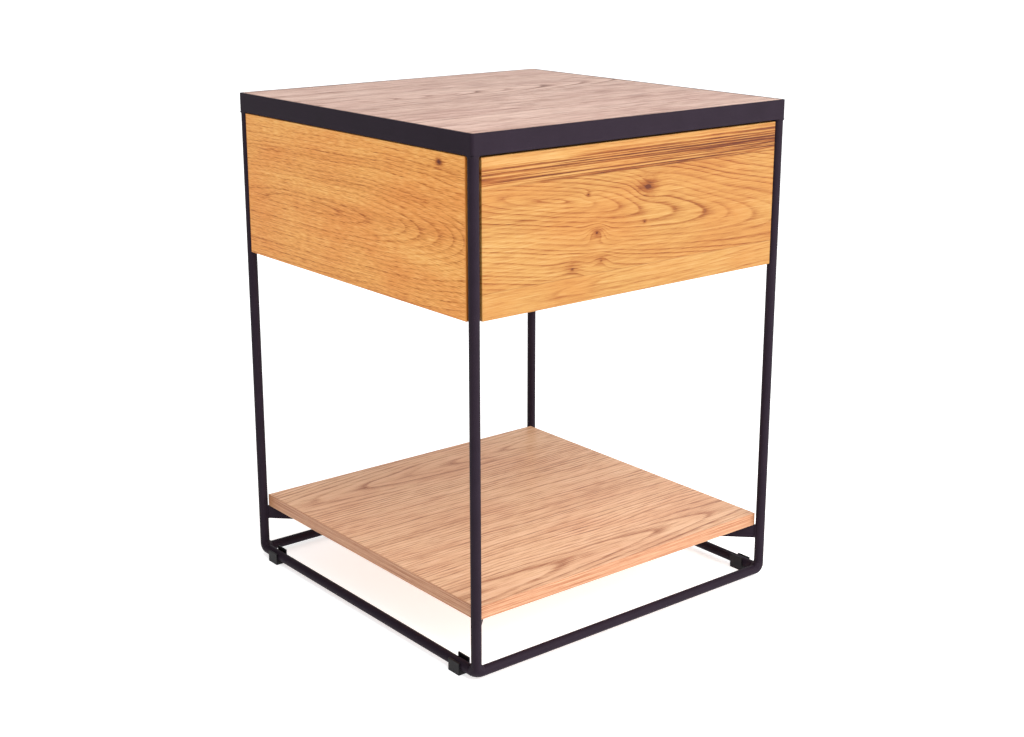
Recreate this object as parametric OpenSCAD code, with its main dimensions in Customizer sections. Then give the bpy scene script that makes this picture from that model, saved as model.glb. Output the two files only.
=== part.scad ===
// Square side table: a welded steel bar frame with an inset top board, a lower
// shelf and one drawer in a case that hangs under the rim.
// The origin is the middle of the floor area under the table, +Z is up, the
// drawer opens towards -Y and +X is to the right of someone who faces it.

/* [Table] */
// Width over the steel frame
table_w = 470; // [400:1:640]
// Depth over the steel frame
table_d = 470; // [400:1:640]
// Height from the floor to the top face
table_h = 610; // [480:1:760]

/* [Steel frame] */
// Diameter of the round bar of the legs and bottom rails
bar_d = 12; // [10:0.2:16]
// Inside radius of the bends at the four bottom corners
bend_inner_r = 1; // [0.5:0.5:8]
// Thickness of the angle bar round the top
rim_t = 3; // [2:0.1:5]
// Width of the ledge that the top board lies on
ledge_w = 24; // [20:0.5:34]
// Rounding of the rim's upright outer corners
rim_corner_r = 4; // [1:0.5:6]
// Thickness of the shelf's corner brackets
bracket_t = 4; // [3:0.1:6]
// Height of the shelf's corner brackets
bracket_h = 17; // [12:0.5:30]
// Reach of a bracket from the leg towards the middle of the table
bracket_l = 58; // [40:1:90]

/* [Boards] */
// Thickness of the top board, which lies flush with the rim
top_t = 20; // [15:0.5:30]
// Slit between the top board and the rim
top_gap = 0.4; // [0.2:0.1:2]
// Thickness of the shelf
shelf_t = 16; // [12:0.1:25]
// Height of the shelf's top face above the floor
shelf_top_z = 85; // [70:1:200]
// Space between a leg and the shelf's corner
shelf_gap = 1.1; // [0.5:0.1:5]

/* [Drawer case] */
// Height of the case below the rim
case_h = 175; // [140:1:220]
// Thickness of the side and back panels
panel_t = 12; // [10:0.1:18]
// Distance of the panels' faces behind the frame's outer faces
panel_recess = 1; // [0.5:0.5:4]
// Space between a panel's end and the leg
panel_gap = 1; // [0.5:0.5:3]
// Height of the shadow line under the rim
shadow_h = 1.2; // [0.5:0.1:3]
// Depth of the shadow line
shadow_d = 3; // [2:0.5:6]
// Width of the two upright blocks in the back corners
block_w = 22; // [16:1:30]
// Width of the flat stretcher that ties the sides under the drawer
stretcher_w = 70; // [40:1:100]
// Thickness of the stretcher
stretcher_t = 12; // [9:0.1:18]
// Distance of the stretcher behind the drawer front, room for fingers
finger_d = 40; // [30:1:60]

/* [Drawer] */
// Thickness of the drawer front
front_t = 18; // [14:0.1:22]
// Distance of the drawer front behind the frame's front face
front_recess = 2.5; // [1:0.5:5]
// Slit above the drawer front
front_top_gap = 2.4; // [1:0.1:4]
// Slit between the drawer front and the side panels
front_side_gap = 1; // [0.5:0.1:3]
// Thickness of the drawer box's sides, inner front and back
box_t = 12; // [10:0.1:16]
// Height of the drawer box
box_h = 128; // [90:1:140]
// Height of the box's lower edge above the drawer front's lower edge
box_lift = 20; // [17:0.5:30]
// Free space between the drawer box and the back panel
box_back_gap = 26.5; // [24:0.5:60]
// Thickness of the drawer's bottom panel
bottom_t = 5; // [3:0.1:8]
// Depth of the groove that holds the bottom panel
groove_d = 6; // [4:0.1:8]
// Height of the groove above the box's lower edge
groove_lift = 8; // [6:0.5:14]

/* [Runners] */
// Height of a runner's case member
runner_h = 45; // [35:1:53]
// Width of a closed runner, the space on each side of the drawer box
runner_w = 12.7; // [12.3:0.1:15]
// Sheet thickness of the runner's members
runner_t = 1.2; // [1:0.1:1.4]
// Diameter of the bearing balls
ball_d = 3; // [2.4:0.1:3.6]
// Running clearance of a ball on each side
ball_clear = 0.1; // [0.05:0.05:0.3]
// Number of balls in each row
balls = 9; // [4:1:14]
// Pitch of the balls in a row
ball_pitch = 11; // [8:1:16]

/* [Glides] */
// Height of a glide's foot under the bottom rail
glide_h = 4; // [2:0.1:10]
// Length of a glide along the rail
glide_l = 20; // [12:1:30]
// Wall of a glide
glide_t = 2; // [1.5:0.1:3]
// Distance from the frame's corner to the middle of a glide
glide_inset = 38; // [30:1:80]

/* [Screws] */
// Shank diameter of the wood screws
screw_d = 3.5; // [3:0.1:4.5]
// Head diameter of the wood screws
screw_head_d = 7; // [6:0.1:9]
// Height of a pan head
screw_head_h = 2.2; // [1.5:0.1:3]
// Head height of the flat screws in the runners
runner_head_h = 0.6; // [0.4:0.1:0.7]
// Clearance around a screw's shank
screw_clear = 0.1; // [0.05:0.05:0.3]
// Distance from the frame's corner to the first screw of a row
screw_inset = 62; // [50:1:90]

/* [Hidden] */
$fn = 48;
half_w = table_w / 2;
half_d = table_d / 2;
bar_r = bar_d / 2;
// Bars: the axis lies one radius inside the frame's outer faces
axis_x = half_w - bar_r;
axis_y = half_d - bar_r;
axis_z = glide_h + bar_r;
bend_r = bar_r + bend_inner_r;
rim_h = top_t + rim_t;
ledge_z = table_h - rim_h;
// Shelf: its corner clears the round leg along the table's diagonal
shelf_inset = bar_r + (bar_r + shelf_gap) / sqrt(2);
shelf_z = shelf_top_z - shelf_t;
// Case
case_z = ledge_z - case_h;
panel_in_x = half_w - panel_recess - panel_t;
panel_in_y = half_d - panel_recess - panel_t;
side_half_l = half_d - bar_d - panel_gap;
inner_half_w = min(half_w - bar_d, panel_in_x) - front_side_gap;
block_inset = 4;
// Drawer
front_y = -half_d + front_recess;
box_y = front_y + front_t;
box_l = panel_in_y - box_back_gap - box_y;
box_half_w = panel_in_x - runner_w;
box_z = case_z + box_lift;
box_in_half_w = box_half_w - box_t;
groove_z = box_z + groove_lift;
groove_clear = 0.2;
stretcher_y = box_y + finger_d;
// Runners: each member is a channel, nested with one row of balls between
runner_z = box_z + box_h / 2;
runner_inset = 5;
runner_l = box_l - 2 * runner_inset;
runner_y = box_y + runner_inset;
ball_gap = ball_d + 2 * ball_clear;
// Free space at the ends of the case member's flanges
case_flange_gap = 3.2;
case_flange_d = runner_w - case_flange_gap;
// Free space between the middle member's web and its neighbours
member_gap = 1;
// Free space at the ends of the drawer member's flanges
drawer_flange_gap = 1.2;
mid_half_h = runner_h / 2 - runner_t - ball_gap;
mid_u = runner_t + member_gap;
mid_flange_d = runner_w - 2 * (runner_t + member_gap);
drawer_half_h = mid_half_h - runner_t - ball_gap;
lip_h = 3;
ball_row_mid = runner_y + runner_l / 2;
// Places of the outer and inner ball rows as shares of the middle flange
outer_row_share = 0.4;
inner_row_share = 0.6;
// Screws
side_screw_y = [-half_d + screw_inset, 0, half_d - screw_inset];
side_screw_x = [-half_w + screw_inset, 0, half_w - screw_inset];
panel_screw_u = panel_recess + panel_t / 2;
// Ledge left beside a top screw's head, and the screw's place in its row
ledge_edge = 1.5;
top_screw_u = ledge_w - screw_head_d / 2 - ledge_edge;
top_screw_shift = 30;
panel_screw_l = 38;
top_screw_l = 16;
runner_screw_l = 9;
// Places of a runner's screws as shares of its length
runner_screw_shares = [0.12, 0.5, 0.88];
runner_screw_y = [for (f = runner_screw_shares) runner_y + f * runner_l];
// How deep the front's screws go into it, and their distances from the edges
// of the box's inner front
front_screw_bite = 13;
front_screw_inset = 40;
front_screw_above = 28;
front_screw_below = 22;
front_screw_l = box_t + front_screw_bite;
front_screw_x = box_in_half_w - front_screw_inset;
front_screw_z = [box_z + front_screw_above, box_z + box_h - front_screw_below];
// Tab that the shelf is screwed to
tab_l = 22;
tab_w = 18;
tab_t = 3;
shelf_screw_l = 12;
// How much deeper a screw's blind hole is than the screw
hole_end = 0.5;
// How far a cut runs past the face it opens
over = 1;

steel = [0.16, 0.145, 0.16];
oak = [0.80, 0.56, 0.33];
oak_pale = [0.84, 0.68, 0.52];
zinc = [0.72, 0.72, 0.70];
plastic = [0.07, 0.07, 0.075];
birch = [0.86, 0.76, 0.60];

// Turns a piece made in the front left quarter to the quarter given by two
// signs, sx for left (-1) or right (1) and sy for front (-1) or back (1)
module quarter(sx, sy) {
    mirror([sx > 0 ? 1 : 0, 0, 0])
        mirror([0, sy > 0 ? 1 : 0, 0])
            children();
}

// ---- Screws ----

// Pan-head screw along +Z, its head's bearing face at z = 0
module pan_screw(length, head_h) {
    translate([0, 0, -head_h])
        cylinder(d = screw_head_d, h = head_h);
    cylinder(d = screw_d, h = length);
}

// Countersunk screw along -Z, its head flush with z = 0
module flat_screw(length) {
    head_l = (screw_head_d - screw_d) / 2;
    translate([0, 0, -head_l])
        cylinder(d1 = screw_d, d2 = screw_head_d, h = head_l);
    translate([0, 0, -length])
        cylinder(d = screw_d, h = length - head_l);
}

// Hole around a screw's shank along +Z, from z = 0
module screw_hole(length) {
    cylinder(d = screw_d + 2 * screw_clear, h = length);
}

// Countersunk hole through a ledge of thickness t, its wide end at z = 0
module sunk_hole(t) {
    head_l = (screw_head_d - screw_d) / 2;
    translate([0, 0, -t - over])
        screw_hole(t + 2 * over);
    translate([0, 0, -head_l])
        cylinder(d1 = screw_d + 2 * screw_clear, d2 = screw_head_d + 2 * screw_clear, h = head_l);
    cylinder(d = screw_head_d + 2 * screw_clear, h = over);
}

// ---- Steel frame ----

// One side of the top rim: an angle bar with mitred ends, its outer face on
// the X axis and its ledge reaching towards +Y
module rim_bar(length) {
    half = length / 2;
    difference() {
        union() {
            linear_extrude(rim_h)
                polygon([[-half, 0], [half, 0], [half - rim_t, rim_t], [-half + rim_t, rim_t]]);
            linear_extrude(rim_t)
                polygon([[-half, 0], [half, 0], [half - ledge_w, ledge_w], [-half + ledge_w, ledge_w]]);
        }
        for (s = [-1, 1])
            translate([s * half, 0, -over])
                mirror([s > 0 ? 1 : 0, 0, 0])
                    difference() {
                        translate([-over, -over, 0])
                            cube([rim_corner_r + over, rim_corner_r + over, rim_h + 2 * over]);
                        translate([rim_corner_r, rim_corner_r, 0])
                            cylinder(r = rim_corner_r, h = rim_h + 2 * over);
                    }
    }
}

// Rim bar with its screw holes: up into the top board beside each place in
// row, and down into the panel below at row where there is a panel
module drilled_rim_bar(length, row, has_panel) {
    color(steel)
        difference() {
            rim_bar(length);
            for (p = top_screw_places(row))
                translate([p, top_screw_u, 0])
                    mirror([0, 0, 1])
                        sunk_hole(rim_t);
            if (has_panel)
                for (p = row)
                    translate([p, panel_screw_u, rim_t])
                        sunk_hole(rim_t);
        }
}

// The top board's screws stand beside the first and the last of a row
function top_screw_places(row) =
    [row[0] + top_screw_shift, row[len(row) - 1] - top_screw_shift];

module rim_front() {
    translate([0, -half_d, ledge_z])
        drilled_rim_bar(table_w, side_screw_x, false);
}

module rim_back() {
    translate([0, half_d, ledge_z])
        rotate([0, 0, 180])
            drilled_rim_bar(table_w, side_screw_x, true);
}

module rim_side(s) {
    translate([s * half_w, 0, ledge_z])
        rotate([0, 0, s * 90])
            drilled_rim_bar(table_d, side_screw_y, true);
}

// Leg: a round bar from the bottom bend up to the rim's ledge
module leg(sx, sy) {
    color(steel)
        translate([sx * axis_x, sy * axis_y, axis_z + bend_r])
            cylinder(r = bar_r, h = ledge_z - axis_z - bend_r);
}

// Slices across a bar that turns from the Z axis to the X axis
module bend_slices() {
    slice_t = 0.01;
    step = 15;
    for (a = [0 : step : 90])
        translate([bend_r, 0, bend_r])
            rotate([0, -a, 0])
                translate([-bend_r, 0, 0])
                    cylinder(r = bar_r, h = slice_t, center = true, $fn = 36);
}

// Bottom corner where a leg and two rails turn into each other: the slices of
// the turn to one rail, to the other rail, and between the rails
module bend(sx, sy) {
    color(steel)
        quarter(sx, sy)
            translate([-axis_x, -axis_y, axis_z])
                hull() {
                    bend_slices();
                    mirror([1, -1, 0])
                        bend_slices();
                    mirror([0, 1, -1])
                        bend_slices();
                }
}

// Bottom rail between two bends
module rail_x(sy) {
    color(steel)
        translate([-axis_x + bend_r, sy * axis_y, axis_z])
            rotate([0, 90, 0])
                cylinder(r = bar_r, h = 2 * (axis_x - bend_r));
}

module rail_y(sx) {
    color(steel)
        translate([sx * axis_x, -axis_y + bend_r, axis_z])
            rotate([-90, 0, 0])
                cylinder(r = bar_r, h = 2 * (axis_y - bend_r));
}

// Shelf bracket: an upright flat bar on the table's diagonal, coped to the
// leg, with a drilled tab under the shelf at its inner end
module bracket(sx, sy) {
    color(steel)
        quarter(sx, sy)
            translate([-axis_x, -axis_y, shelf_z])
                rotate([0, 0, 45])
                    difference() {
                        union() {
                            translate([0, -bracket_t / 2, -bracket_h])
                                cube([bar_r + bracket_l, bracket_t, bracket_h]);
                            translate([bar_r + bracket_l - tab_l, -bracket_t / 2, -tab_t])
                                cube([tab_l, bracket_t / 2 + tab_w, tab_t]);
                        }
                        translate([0, 0, -bracket_h - over])
                            cylinder(r = bar_r, h = bracket_h + 2 * over);
                        translate([bar_r + bracket_l - tab_l / 2, tab_screw_v(), -tab_t - over])
                            screw_hole(tab_t + 2 * over);
                    }
}

// The tab's screw stands in the middle of the tab's free part
function tab_screw_v() = (bracket_t / 2 + tab_w) / 2;

// Glide: a plastic clip that grips the side rail from below
module glide(sx, sy) {
    color(plastic)
        quarter(sx, sy)
            translate([-axis_x, -half_d + glide_inset, axis_z])
                rotate([90, 0, 0])
                    translate([0, 0, -glide_l / 2])
                        linear_extrude(glide_l)
                            glide_outline();
}

module glide_outline() {
    grip_clear = 0.05;
    inner_rise = 2;
    // The outer arm stops just short of the bar's top, the inner one passes it
    outer_top = bar_r * 0.85;
    inner_top = bar_r + inner_rise;
    difference() {
        union() {
            translate([-bar_r - glide_t, -axis_z])
                square([glide_t + bar_r, axis_z + outer_top]);
            translate([0, -axis_z])
                square([bar_r + glide_t, axis_z + inner_top]);
        }
        circle(r = bar_r + grip_clear);
        translate([-bar_r - grip_clear, 0])
            square([bar_d + 2 * grip_clear, inner_top + over]);
    }
}

// ---- Boards ----

module top_board() {
    inset = rim_t + top_gap;
    color(oak_pale)
        difference() {
            translate([-half_w + inset, -half_d + inset, ledge_z + rim_t])
                cube([table_w - 2 * inset, table_d - 2 * inset, top_t]);
            top_screw_places_3d()
                translate([0, 0, rim_t - over])
                    screw_hole(top_screw_l - rim_t + over + hole_end);
        }
}

// Puts its children, made at the ledge's underside, at every top board screw
module top_screw_places_3d() {
    for (s = [-1, 1]) {
        for (p = top_screw_places(side_screw_x))
            translate([p, s * (half_d - top_screw_u), ledge_z])
                children();
        for (p = top_screw_places(side_screw_y))
            translate([s * (half_w - top_screw_u), p, ledge_z])
                children();
    }
}

module top_screws() {
    color(zinc)
        top_screw_places_3d()
            mirror([0, 0, 1])
                flat_screw(top_screw_l);
}

module shelf_board() {
    color(oak_pale)
        difference() {
            translate([-half_w + shelf_inset, -half_d + shelf_inset, shelf_z])
                cube([table_w - 2 * shelf_inset, table_d - 2 * shelf_inset, shelf_t]);
            shelf_screw_places()
                translate([0, 0, tab_t - over])
                    screw_hole(shelf_screw_l - tab_t + over + hole_end);
        }
}

// Puts its children, made at the tab's underside, at every shelf screw
module shelf_screw_places() {
    for (sx = [-1, 1], sy = [-1, 1])
        quarter(sx, sy)
            translate([-axis_x, -axis_y, shelf_z - tab_t])
                rotate([0, 0, 45])
                    translate([bar_r + bracket_l - tab_l / 2, tab_screw_v(), 0])
                        children();
}

module shelf_screws() {
    color(zinc)
        shelf_screw_places()
            pan_screw(shelf_screw_l, screw_head_h);
}

// ---- Drawer case ----

// Panel on end under the rim, its outer face on the X axis, with a shadow line
// along its upper outer edge and pilot holes for the ledge's screws
module case_panel(length, row) {
    color(oak)
        difference() {
            translate([-length / 2, 0, 0])
                cube([length, panel_t, case_h]);
            translate([-length / 2 - over, -over, case_h - shadow_h])
                cube([length + 2 * over, shadow_d + over, shadow_h + over]);
            for (p = row)
                translate([p, panel_t / 2, case_h - panel_screw_l + rim_t - hole_end])
                    screw_hole(panel_screw_l + over);
        }
}

module side_panel(s) {
    color(oak)
        difference() {
            translate([s * (half_w - panel_recess), 0, case_z])
                rotate([0, 0, s * 90])
                    case_panel(2 * side_half_l, side_screw_y);
            for (y = runner_screw_y)
                translate([s * panel_in_x, y, runner_z])
                    rotate([0, s * 90, 0])
                        screw_hole(runner_screw_l);
        }
}

module back_panel() {
    translate([0, half_d - panel_recess, case_z])
        rotate([0, 0, 180])
            case_panel(2 * inner_half_w, side_screw_x);
}

module panel_screws() {
    color(zinc)
        translate([0, 0, ledge_z + rim_t]) {
            for (s = [-1, 1], p = side_screw_y)
                translate([s * (half_w - panel_screw_u), p, 0])
                    flat_screw(panel_screw_l);
            for (p = side_screw_x)
                translate([p, half_d - panel_screw_u, 0])
                    flat_screw(panel_screw_l);
        }
}

module corner_block(s) {
    color(birch)
        mirror([s > 0 ? 1 : 0, 0, 0])
            translate([-panel_in_x, panel_in_y - block_w, case_z + block_inset])
                cube([block_w, block_w, case_h - 2 * block_inset]);
}

module case_stretcher() {
    color(birch)
        translate([-panel_in_x, stretcher_y, case_z + block_inset])
            cube([2 * panel_in_x, stretcher_w, stretcher_t]);
}

// ---- Drawer ----

module drawer_front() {
    color(oak)
        difference() {
            translate([-inner_half_w, front_y, case_z])
                cube([2 * inner_half_w, front_t, case_h - front_top_gap]);
            front_screw_places()
                screw_hole(front_screw_l + hole_end);
        }
}

// Puts its children, made along +Z, at every screw from the box into the front
module front_screw_places() {
    for (s = [-1, 1], z = front_screw_z)
        translate([s * front_screw_x, box_y + box_t, z])
            rotate([90, 0, 0])
                children();
}

module front_screws() {
    color(zinc)
        front_screw_places()
            pan_screw(front_screw_l, screw_head_h);
}

// Groove that the bottom panel slides into, all round the box
module bottom_groove() {
    reach = groove_d + groove_clear / 2;
    translate([-box_in_half_w - reach, box_y + box_t - reach, groove_z - groove_clear / 2])
        cube([2 * (box_in_half_w + reach), box_l - 2 * box_t + 2 * reach, bottom_t + groove_clear]);
}

module box_side(s) {
    color(birch)
        difference() {
            translate([s > 0 ? box_in_half_w : -box_half_w, box_y, box_z])
                cube([box_t, box_l, box_h]);
            bottom_groove();
            for (y = runner_screw_y)
                translate([s * box_half_w, y, runner_z])
                    rotate([0, -s * 90, 0])
                        screw_hole(runner_screw_l);
        }
}

module box_front() {
    color(birch)
        difference() {
            translate([-box_in_half_w, box_y, box_z])
                cube([2 * box_in_half_w, box_t, box_h]);
            bottom_groove();
            front_screw_places()
                translate([0, 0, -over])
                    screw_hole(box_t + 2 * over);
        }
}

module box_back() {
    color(birch)
        difference() {
            translate([-box_in_half_w, box_y + box_l - box_t, box_z])
                cube([2 * box_in_half_w, box_t, box_h]);
            bottom_groove();
        }
}

module box_bottom() {
    color(birch)
        translate([-box_in_half_w - groove_d, box_y + box_t - groove_d, groove_z])
            cube([2 * (box_in_half_w + groove_d), box_l - 2 * box_t + 2 * groove_d, bottom_t]);
}

// ---- Runners ----

// Places a runner's outline, drawn with u from the case panel inwards and v
// upwards, along the drawer on side s
module runner_place(s) {
    mirror([s > 0 ? 1 : 0, 0, 0])
        translate([-panel_in_x, runner_y + runner_l, runner_z])
            rotate([90, 0, 0])
                children();
}

// Channel outline: web at u, flanges of the given reach towards +u
module channel(u, reach, half_h, t) {
    translate([u, -half_h])
        square([t, 2 * half_h]);
    for (v = [-half_h, half_h - t])
        translate([u, v])
            square([reach, t]);
}

module case_runner(s) {
    color(zinc)
        difference() {
            runner_place(s)
                linear_extrude(runner_l) {
                    channel(0, case_flange_d, runner_h / 2, runner_t);
                    for (v = [-runner_h / 2, runner_h / 2 - lip_h])
                        translate([case_flange_d - runner_t, v])
                            square([runner_t, lip_h]);
                }
            for (y = runner_screw_y)
                translate([s * (panel_in_x + over), y, runner_z])
                    rotate([0, -s * 90, 0])
                        screw_hole(runner_t + 2 * over);
        }
}

module mid_runner(s) {
    color(zinc)
        runner_place(s)
            linear_extrude(runner_l)
                channel(mid_u, mid_flange_d, mid_half_h, runner_t);
}

module drawer_runner(s) {
    color(zinc)
        difference() {
            runner_place(s)
                linear_extrude(runner_l)
                    mirror([1, 0])
                        translate([-runner_w, 0])
                            channel(0, drawer_flange_d(), drawer_half_h, runner_t);
            for (y = runner_screw_y)
                translate([s * (box_half_w - over), y, runner_z])
                    rotate([0, s * 90, 0])
                        screw_hole(runner_t + 2 * over);
        }
}

// The drawer member reaches towards the middle member's web and stops short
function drawer_flange_d() = runner_w - mid_u - runner_t - drawer_flange_gap;

// Four rows of balls, two outside and two inside the middle member, each held
// by its cage strip
module ball_cage(s) {
    outer_v = mid_half_h + ball_gap / 2;
    inner_v = drawer_half_h + ball_gap / 2;
    outer_u = mid_u + mid_flange_d * outer_row_share;
    inner_u = mid_u + mid_flange_d * inner_row_share;
    color(zinc)
        mirror([s > 0 ? 1 : 0, 0, 0])
            translate([-panel_in_x, ball_row_mid, runner_z])
                for (k = [-1, 1]) {
                    translate([outer_u, 0, k * outer_v])
                        ball_row();
                    translate([inner_u, 0, k * inner_v])
                        ball_row();
                }
}

module ball_row() {
    cage_t = 0.8;
    cage_w = 4.4;
    row_l = (balls - 1) * ball_pitch;
    translate([-cage_w / 2, -row_l / 2 - cage_w / 2, -cage_t / 2])
        cube([cage_w, row_l + cage_w, cage_t]);
    for (i = [0 : balls - 1])
        translate([0, i * ball_pitch - row_l / 2, 0])
            sphere(d = ball_d, $fn = 16);
}

// Flat-headed screws that hold the case members to the side panels
module case_runner_screws() {
    color(zinc)
        for (s = [-1, 1], y = runner_screw_y)
            translate([s * (panel_in_x - runner_t), y, runner_z])
                rotate([0, s * 90, 0])
                    pan_screw(runner_screw_l, runner_head_h);
}

module drawer_runner_screws() {
    color(zinc)
        for (s = [-1, 1], y = runner_screw_y)
            translate([s * (box_half_w + runner_t), y, runner_z])
                rotate([0, -s * 90, 0])
                    pan_screw(runner_screw_l, runner_head_h);
}

top_board();
shelf_board();
rim_front();
rim_back();
rim_side(-1);  // rim_left
rim_side(1);  // rim_right
leg(-1, -1);  // leg_front_left
leg(1, -1);  // leg_front_right
leg(-1, 1);  // leg_back_left
leg(1, 1);  // leg_back_right
bend(-1, -1);  // bend_front_left
bend(1, -1);  // bend_front_right
bend(-1, 1);  // bend_back_left
bend(1, 1);  // bend_back_right
rail_x(-1);  // rail_front
rail_x(1);  // rail_back
rail_y(-1);  // rail_left
rail_y(1);  // rail_right
bracket(-1, -1);  // bracket_front_left
bracket(1, -1);  // bracket_front_right
bracket(-1, 1);  // bracket_back_left
bracket(1, 1);  // bracket_back_right
glide(-1, -1);  // glide_front_left
glide(1, -1);  // glide_front_right
glide(-1, 1);  // glide_back_left
glide(1, 1);  // glide_back_right
side_panel(-1);  // side_panel_left
side_panel(1);  // side_panel_right
back_panel();
case_stretcher();
corner_block(-1);  // corner_block_left
corner_block(1);  // corner_block_right
case_runner(-1);  // case_runner_left
case_runner(1);  // case_runner_right
mid_runner(-1);  // mid_runner_left
mid_runner(1);  // mid_runner_right
drawer_runner(-1);  // drawer_runner_left
drawer_runner(1);  // drawer_runner_right
ball_cage(-1);  // ball_cage_left
ball_cage(1);  // ball_cage_right
top_screws();
panel_screws();
shelf_screws();
case_runner_screws();
drawer_front();
box_front();
box_back();
box_side(-1);  // box_side_left
box_side(1);  // box_side_right
box_bottom();
drawer_runner_screws();
front_screws();
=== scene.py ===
# %% [markdown]
# # A side table in welded steel and oak, with one drawer
#
# The table is a frame of black round bar with a flat rim round the top. An oak
# board lies in the rim, a second one is the shelf near the floor, and a drawer
# hangs between them in a case of oak panels. The packed CAD part already says
# where everything is and how the drawer moves. This script only makes it look
# like the real thing, so it starts with the part and measures it.

from collections import namedtuple
from math import pi, radians, sqrt

import bpy
import numpy as np
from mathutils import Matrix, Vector


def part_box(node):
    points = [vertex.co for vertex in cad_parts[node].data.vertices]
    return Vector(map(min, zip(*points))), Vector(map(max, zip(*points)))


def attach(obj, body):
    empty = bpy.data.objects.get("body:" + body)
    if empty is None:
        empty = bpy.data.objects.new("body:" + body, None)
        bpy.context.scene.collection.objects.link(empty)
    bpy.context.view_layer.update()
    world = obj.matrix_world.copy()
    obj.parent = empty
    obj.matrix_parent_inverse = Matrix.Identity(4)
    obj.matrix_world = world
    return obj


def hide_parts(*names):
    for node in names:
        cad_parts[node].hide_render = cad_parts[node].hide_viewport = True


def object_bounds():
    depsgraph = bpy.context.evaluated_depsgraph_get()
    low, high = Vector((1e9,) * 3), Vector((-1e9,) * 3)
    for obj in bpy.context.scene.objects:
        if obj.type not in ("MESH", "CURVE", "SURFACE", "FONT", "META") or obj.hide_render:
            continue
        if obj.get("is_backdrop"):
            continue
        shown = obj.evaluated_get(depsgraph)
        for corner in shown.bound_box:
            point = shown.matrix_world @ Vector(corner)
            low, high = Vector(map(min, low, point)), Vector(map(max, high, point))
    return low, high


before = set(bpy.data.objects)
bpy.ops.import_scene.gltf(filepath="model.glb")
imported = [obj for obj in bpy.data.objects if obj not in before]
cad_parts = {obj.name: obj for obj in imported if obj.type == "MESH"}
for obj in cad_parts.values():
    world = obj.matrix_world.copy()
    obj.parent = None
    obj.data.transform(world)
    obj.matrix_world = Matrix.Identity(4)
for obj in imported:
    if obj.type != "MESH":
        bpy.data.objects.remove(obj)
cad_low, cad_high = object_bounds()
MM = 0.001
print("part box in metres:", tuple(cad_low), tuple(cad_high))

# %% [markdown]
# ## From arrays to a mesh
#
# Every new piece is worked out as one array of points and one list of faces.
# Blender takes both in one go, which is quicker and easier to check than adding
# points one by one. Two things decide whether such a mesh looks real: its faces
# must point outwards, and its shading must know which faces are flat. Here the
# signed volume tells the first, and the second comes from normals that count
# each face by its area, so that a wide flat face stays flat up to its eased edge.

# %% Which way a mesh points, and how it is shaded
def signed_volume(mesh):
    """Sum over the triangles of a . (b x c) / 6, which is above zero if the faces point outwards."""
    mesh.calc_loop_triangles()
    corner = np.empty(len(mesh.loop_triangles) * 3, np.int32)
    mesh.loop_triangles.foreach_get("vertices", corner)
    place = np.empty(len(mesh.vertices) * 3)
    mesh.vertices.foreach_get("co", place)
    a, b, c = place.reshape(-1, 3)[corner.reshape(-1, 3)].transpose(1, 0, 2)
    return (a * np.cross(b, c)).sum() / 6


def flat_first_normals(mesh, skip_wide):
    """Normal of a point = the sum of its faces' normals, each times the face's area.
    With skip_wide the faces with more than four corners don't count, such as a tube's ends."""
    faces = len(mesh.polygons)
    area, normal = np.empty(faces), np.empty(faces * 3)
    corners = np.empty(faces, np.int32)
    mesh.polygons.foreach_get("area", area)
    mesh.polygons.foreach_get("normal", normal)
    mesh.polygons.foreach_get("loop_total", corners)
    point = np.empty(len(mesh.loops), np.int32)
    mesh.loops.foreach_get("vertex_index", point)
    if skip_wide:
        area = np.where(corners > 4, 1e-12, area)
    share = np.repeat(normal.reshape(-1, 3) * area[:, None], corners, axis=0)
    total = np.zeros((len(mesh.vertices), 3))
    np.add.at(total, point, share)
    return total / np.linalg.norm(total, axis=1, keepdims=True)


print("nodes of the part to build on:", len(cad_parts))

# %% A helper that makes a piece
# A shape as arrays: its points, its four-cornered faces, and the two faces that close a stack of rings
Shape = namedtuple("Shape", "points quads ends", defaults=(np.empty((0, 4), int),))


def make_piece(name, shapes, body, finish, instead_of=(), tube=False, normals=None):
    """Joins shapes into one mesh object that rides on a body of the part. The corner numbers of each
    shape are moved on by the number of points before it."""
    faces, first = [], 0
    for shape in shapes:
        faces += (shape.quads + first).tolist() + (shape.ends + first).tolist()
        first += len(shape.points)
    mesh = bpy.data.meshes.new(name)
    mesh.from_pydata(np.concatenate([shape.points for shape in shapes]), [], faces)
    if signed_volume(mesh) < 0:
        mesh.flip_normals()
    mesh.polygons.foreach_set("use_smooth", np.ones(len(mesh.polygons), bool))
    mesh.normals_split_custom_set_from_vertices(
        flat_first_normals(mesh, tube) if normals is None else normals)
    mesh.materials.append(finish)
    piece = bpy.data.objects.new(name, mesh)
    bpy.context.scene.collection.objects.link(piece)
    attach(piece, body)
    if instead_of:
        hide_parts(*instead_of)
    print(f"{name}: {len(mesh.vertices)} points, {len(mesh.polygons)} faces")
    return piece

# %% [markdown]
# ## Two ways to carry a profile along a path
#
# Boards, flat bars and bent sheet are one outline carried along a straight
# path. Bars, screws and weld beads are rings carried along an axis. Both are a
# stack of rings, closed by one flat face at each end. Nothing on a real
# table has a knife edge, so each outline has its corners rounded and each end
# is drawn in by a quarter round.

# %% Stacked rings and eased outlines
def skin(rings):
    """Faces over a stack of rings (rings x points x 3): quads between neighbours, a flat face at each end."""
    count, around = rings.shape[:2]
    start = np.arange(count - 1)[:, None] * around
    here = np.arange(around)
    after = (here + 1) % around
    quads = np.stack([start + here, start + after, start + around + after, start + around + here], -1)
    ends = np.array([here[::-1], here + (count - 1) * around])
    return Shape(rings.reshape(-1, 3), quads.reshape(-1, 4), ends)


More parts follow.
